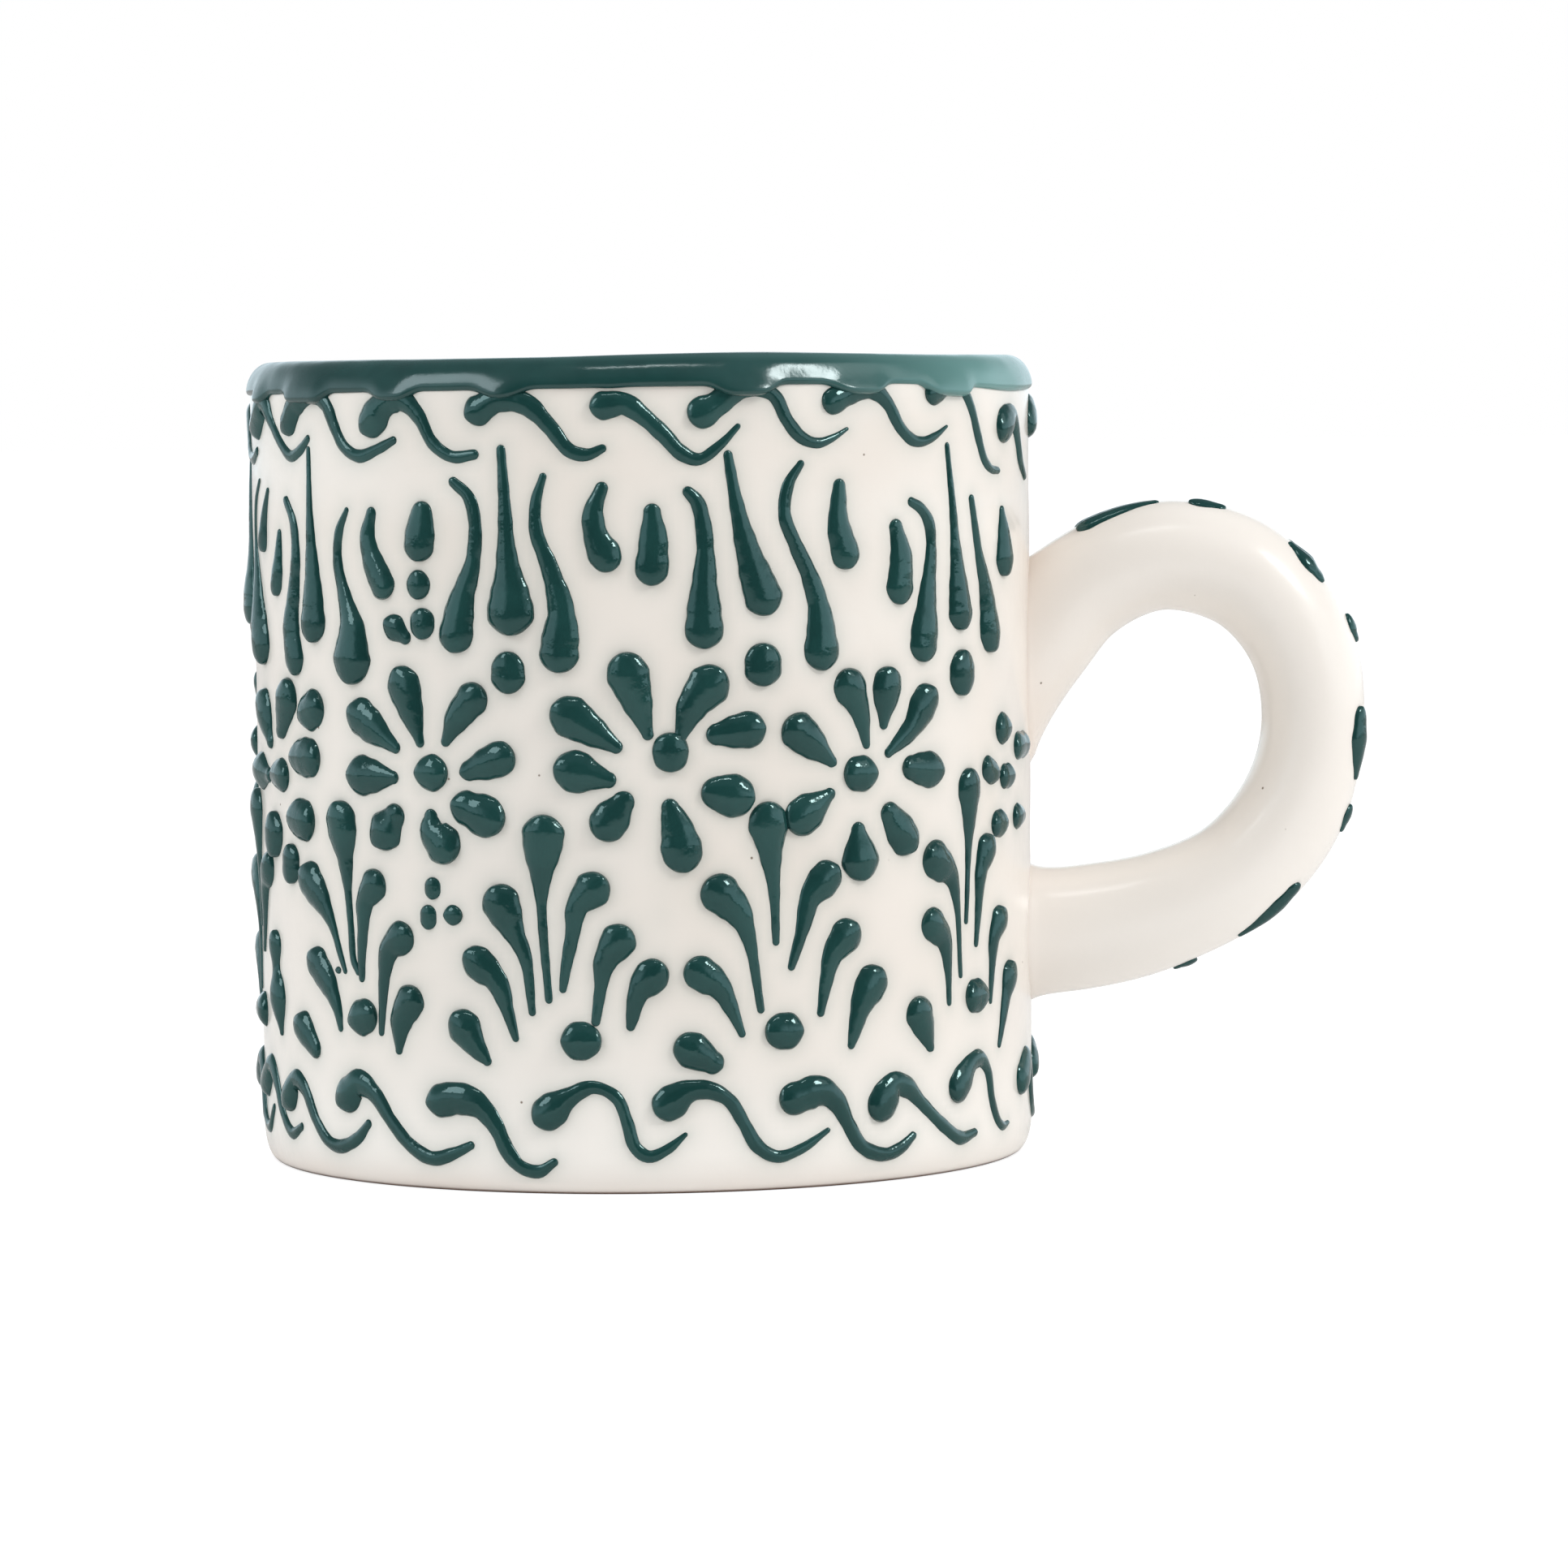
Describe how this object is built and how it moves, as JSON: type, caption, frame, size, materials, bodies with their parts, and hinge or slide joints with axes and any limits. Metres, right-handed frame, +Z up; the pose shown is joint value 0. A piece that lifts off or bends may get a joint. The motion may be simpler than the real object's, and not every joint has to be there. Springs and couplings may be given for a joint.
{
  "type": "coffee cup",
  "caption": "Straight-sided pottery coffee cup with a round loop handle, a green glazed rim and raised green slip ornament of scrolls, drops, flowers and sprays.",
  "frame": {"origin": "middle of the flat base, on the axis of the cup", "axes": "+Z up along the cup's axis, +X towards the handle, -Y towards the front of the ornament"},
  "size_m": [0.1221, 0.0862, 0.0859],
  "materials": {
    "white_glaze": "glossy cream-white glaze with fine specks",
    "green_slip": "glossy dark green raised slip"
  },
  "bodies": {
    "root": {"cup_body": "white_glaze", "handle": "white_glaze", "rim_band": "green_slip", "upper_scroll_border": "green_slip", "lower_scroll_border": "green_slip", "long_drop_front_1_left": "green_slip", "long_drop_front_1_middle": "green_slip", "long_drop_front_1_right": "green_slip", "long_drop_front_2_left": "green_slip", "long_drop_front_2_middle": "green_slip", "long_drop_front_2_right": "green_slip", "long_drop_front_3_left": "green_slip", "long_drop_front_3_middle": "green_slip", "long_drop_front_3_right": "green_slip", "long_drop_front_4_left": "green_slip", "long_drop_front_4_middle": "green_slip", "long_drop_front_4_right": "green_slip", "long_drop_back_1_left": "green_slip", "long_drop_back_1_middle": "green_slip", "long_drop_back_1_right": "green_slip", "long_drop_back_2_left": "green_slip", "long_drop_back_2_middle": "green_slip", "long_drop_back_2_right": "green_slip", "long_drop_back_3_left": "green_slip", "long_drop_back_3_middle": "green_slip", "long_drop_back_3_right": "green_slip", "long_drop_back_4_left": "green_slip", "long_drop_back_4_middle": "green_slip", "long_drop_back_4_right": "green_slip", "long_drop_side_left": "green_slip", "long_drop_side_middle": "green_slip", "long_drop_side_right": "green_slip", "flower_front_1": "green_slip", "flower_front_2": "green_slip", "flower_front_3": "green_slip", "flower_front_4": "green_slip", "flower_back_1": "green_slip", "flower_back_2": "green_slip", "flower_back_3": "green_slip", "flower_back_4": "green_slip", "flower_side": "green_slip", "spray_front_1": "green_slip", "spray_front_2": "green_slip", "spray_front_3": "green_slip", "spray_front_4": "green_slip", "spray_back_1": "green_slip", "spray_back_2": "green_slip", "spray_back_3": "green_slip", "spray_back_4": "green_slip", "spray_side": "green_slip", "handle_stroke_1_near": "green_slip", "handle_stroke_1_far": "green_slip", "handle_stroke_2_near": "green_slip", "handle_stroke_2_far": "green_slip", "handle_stroke_3_near": "green_slip", "handle_stroke_3_far": "green_slip", "handle_stroke_4_near": "green_slip", "handle_stroke_4_far": "green_slip"}
  },
  "joints": []
}
